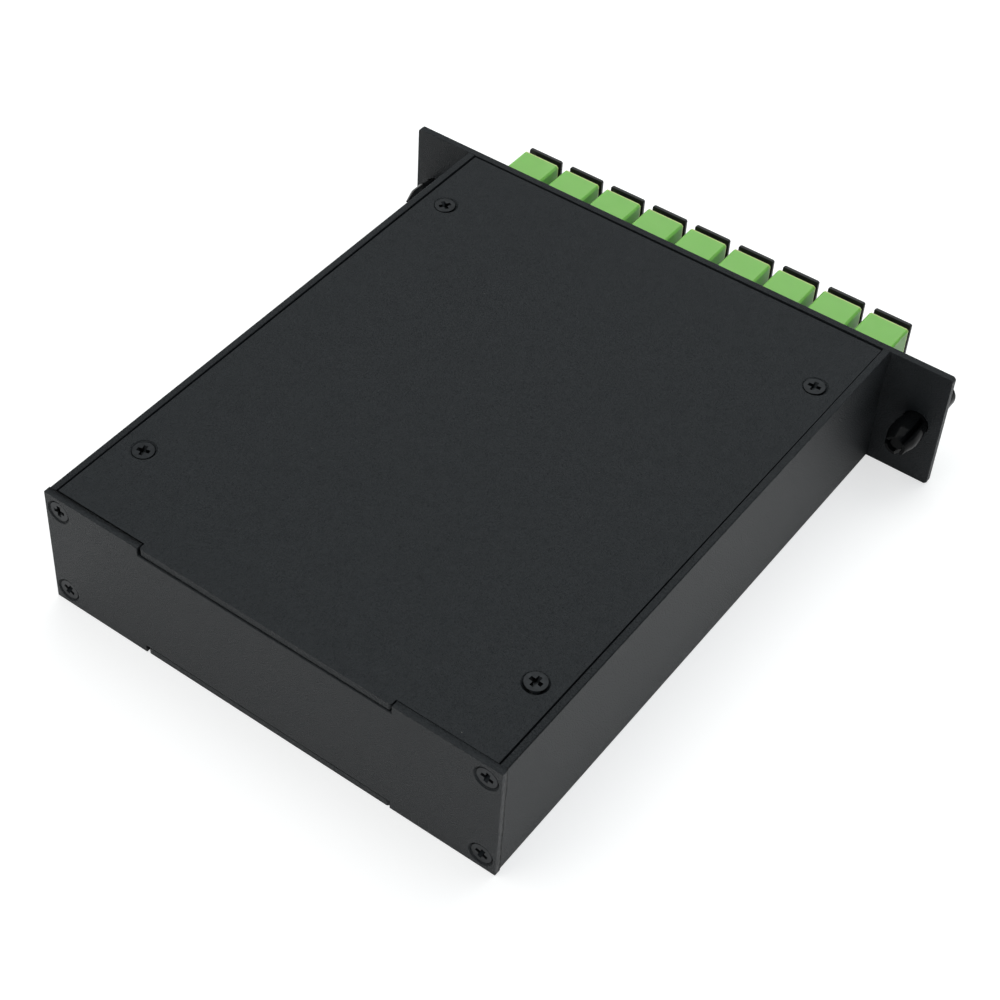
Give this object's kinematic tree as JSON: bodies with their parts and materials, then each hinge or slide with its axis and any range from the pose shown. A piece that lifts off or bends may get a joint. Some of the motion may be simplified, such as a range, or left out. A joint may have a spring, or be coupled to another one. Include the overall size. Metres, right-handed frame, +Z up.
{
  "type": "plc fibre splitter",
  "caption": "Rack cassette in a flat black metal case that splits an optical fibre: a panel with ears, push-in fasteners and a row of green capped adapters.",
  "frame": {"origin": "middle of the plane that the panel's ears seat on, half way up the case", "axes": "+X across the panel, +Y from the panel to the rear of the case, +Z up"},
  "size_m": [0.13, 0.1497, 0.0286],
  "materials": {
    "case": "fine black powder coat on aluminium",
    "grommet": "black nylon",
    "plunger": "black nylon",
    "adapter": "green moulded plastic",
    "clip": "stainless spring sheet",
    "dust_plug": "black soft plastic",
    "connector": "green moulded plastic",
    "module": "plain steel tube",
    "fibre": "white fibre coating"
  },
  "bodies": {
    "cassette": {"front_panel": "case", "rear_panel": "case", "side_rail_left": "case", "side_rail_right": "case", "top_cover": "case", "bottom_cover": "case", "panel_grommets": "grommet", "adapter_in": "adapter", "adapter_out_1": "adapter", "adapter_out_2": "adapter", "adapter_out_3": "adapter", "adapter_out_4": "adapter", "adapter_out_5": "adapter", "adapter_out_6": "adapter", "adapter_out_7": "adapter", "adapter_out_8": "adapter", "adapter_clip_in": "clip", "adapter_clip_out_1": "clip", "adapter_clip_out_2": "clip", "adapter_clip_out_3": "clip", "adapter_clip_out_4": "clip", "adapter_clip_out_5": "clip", "adapter_clip_out_6": "clip", "adapter_clip_out_7": "clip", "adapter_clip_out_8": "clip", "connector_in": "connector", "connector_out_1": "connector", "connector_out_2": "connector", "connector_out_3": "connector", "connector_out_4": "connector", "connector_out_5": "connector", "connector_out_6": "connector", "connector_out_7": "connector", "connector_out_8": "connector", "splitter_module": "module", "fibre_coil": "fibre"},
    "dust_plug_in_body": {"dust_plug_in": "dust_plug"},
    "dust_plug_out_1_body": {"dust_plug_out_1": "dust_plug"},
    "dust_plug_out_2_body": {"dust_plug_out_2": "dust_plug"},
    "dust_plug_out_3_body": {"dust_plug_out_3": "dust_plug"},
    "dust_plug_out_4_body": {"dust_plug_out_4": "dust_plug"},
    "dust_plug_out_5_body": {"dust_plug_out_5": "dust_plug"},
    "dust_plug_out_6_body": {"dust_plug_out_6": "dust_plug"},
    "dust_plug_out_7_body": {"dust_plug_out_7": "dust_plug"},
    "dust_plug_out_8_body": {"dust_plug_out_8": "dust_plug"},
    "plunger_left_body": {"plunger_left": "plunger"},
    "plunger_right_body": {"plunger_right": "plunger"}
  },
  "joints": [
    {"name": "dust_plug_in_pull", "type": "slide", "parent": "cassette", "child": "dust_plug_in_body", "axis": [0, -1, 0], "range_m": [0, 0.025]},
    {"name": "dust_plug_out_1_pull", "type": "slide", "parent": "cassette", "child": "dust_plug_out_1_body", "axis": [0, -1, 0], "range_m": [0, 0.025]},
    {"name": "dust_plug_out_2_pull", "type": "slide", "parent": "cassette", "child": "dust_plug_out_2_body", "axis": [0, -1, 0], "range_m": [0, 0.025]},
    {"name": "dust_plug_out_3_pull", "type": "slide", "parent": "cassette", "child": "dust_plug_out_3_body", "axis": [0, -1, 0], "range_m": [0, 0.025]},
    {"name": "dust_plug_out_4_pull", "type": "slide", "parent": "cassette", "child": "dust_plug_out_4_body", "axis": [0, -1, 0], "range_m": [0, 0.025]},
    {"name": "dust_plug_out_5_pull", "type": "slide", "parent": "cassette", "child": "dust_plug_out_5_body", "axis": [0, -1, 0], "range_m": [0, 0.025]},
    {"name": "dust_plug_out_6_pull", "type": "slide", "parent": "cassette", "child": "dust_plug_out_6_body", "axis": [0, -1, 0], "range_m": [0, 0.025]},
    {"name": "dust_plug_out_7_pull", "type": "slide", "parent": "cassette", "child": "dust_plug_out_7_body", "axis": [0, -1, 0], "range_m": [0, 0.025]},
    {"name": "dust_plug_out_8_pull", "type": "slide", "parent": "cassette", "child": "dust_plug_out_8_body", "axis": [0, -1, 0], "range_m": [0, 0.025]},
    {"name": "plunger_left_pull", "type": "slide", "parent": "cassette", "child": "plunger_left_body", "axis": [0, -1, 0], "range_m": [0, 0.0045]},
    {"name": "plunger_right_pull", "type": "slide", "parent": "cassette", "child": "plunger_right_body", "axis": [0, -1, 0], "range_m": [0, 0.0045]}
  ]
}
